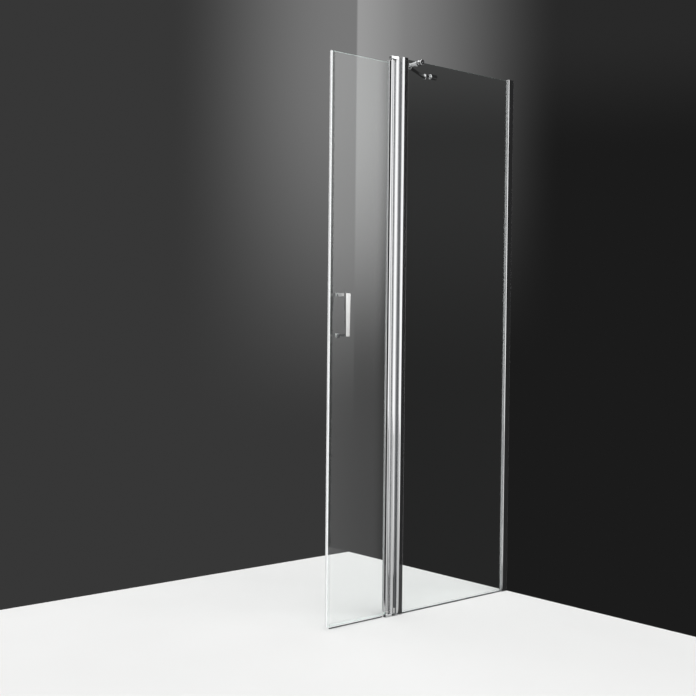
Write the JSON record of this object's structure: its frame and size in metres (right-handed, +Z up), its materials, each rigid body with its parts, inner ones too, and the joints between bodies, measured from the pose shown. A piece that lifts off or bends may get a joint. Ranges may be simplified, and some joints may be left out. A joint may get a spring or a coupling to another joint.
{
  "type": "shower screen with pivot door",
  "caption": "Shower screen: a fixed glass panel on a wall channel, a bright hinge post with pivot arms, a narrow swinging glass door with a bar handle, and a brace to the side wall.",
  "frame": {"origin": "foot of the wall channel's back face, in the middle plane of the glass, at the level of the tray's rim", "axes": "+X points into the wall that carries the screen, -Y is the outside of the shower, +Z is up"},
  "size_m": [0.882, 0.463, 1.986],
  "materials": {
    "channel_aluminium": "satin anodised extrusion",
    "bright_profile": "mirror-bright plated extrusion",
    "bright_cast": "mirror-bright chrome plating",
    "screw_steel": "plain stainless steel",
    "dark_steel": "blackened grub screws",
    "fixed_panel_glass": "clear toughened glass with polished edges",
    "door_panel_glass": "clear toughened glass with polished edges",
    "clear_seal": "clear soft vinyl",
    "white_magnet": "white magnetic strip",
    "grey_gasket": "matt grey rubber",
    "black_rubber": "matt black rubber",
    "white_nylon": "white nylon"
  },
  "bodies": {
    "fixed_frame": {"wall_channel": "channel_aluminium", "wall_profile": "bright_profile", "wall_profile_cap": "bright_cast", "side_screws": "screw_steel", "wall_gaskets": "grey_gasket", "fixed_glass": "fixed_panel_glass", "fixed_bottom_seal": "clear_seal", "post_gaskets": "grey_gasket", "post_profile": "bright_profile", "post_cap": "bright_cast", "post_tube": "bright_profile", "post_seal": "clear_seal", "foot_plate": "screw_steel", "top_pivot_arm": "bright_cast", "bottom_pivot_arm": "bright_cast", "arm_set_screws": "dark_steel", "top_pivot_pin": "screw_steel", "bottom_pivot_pin": "screw_steel", "brace_glass_clamp": "bright_cast", "brace_clamp_liner": "black_rubber", "brace_clamp_screw": "dark_steel", "brace_tube": "bright_cast", "brace_glass_end": "bright_cast", "brace_wall_end": "bright_cast", "brace_swivel_screws": "screw_steel", "brace_wall_cup": "bright_cast", "brace_wall_base": "screw_steel", "brace_cup_screw": "dark_steel"},
    "door_leaf": {"top_pivot_bush": "white_nylon", "bottom_pivot_bush": "white_nylon", "door_profile": "bright_profile", "door_gaskets": "grey_gasket", "door_glass": "door_panel_glass", "door_edge_seal": "clear_seal", "door_edge_magnet": "white_magnet", "door_bottom_seal": "clear_seal", "handle_bar": "bright_cast", "handle_upper_arm": "bright_cast", "handle_lower_arm": "bright_cast", "handle_rosettes": "bright_cast", "handle_sleeves": "white_nylon", "handle_inner_caps": "bright_cast", "handle_bolts": "screw_steel"}
  },
  "joints": [
    {"name": "door_swing", "type": "hinge", "parent": "fixed_frame", "child": "door_leaf", "pos_m": [-0.612, 0, 0], "axis": [0, 0, 1], "range_deg": [0, 110]}
  ]
}
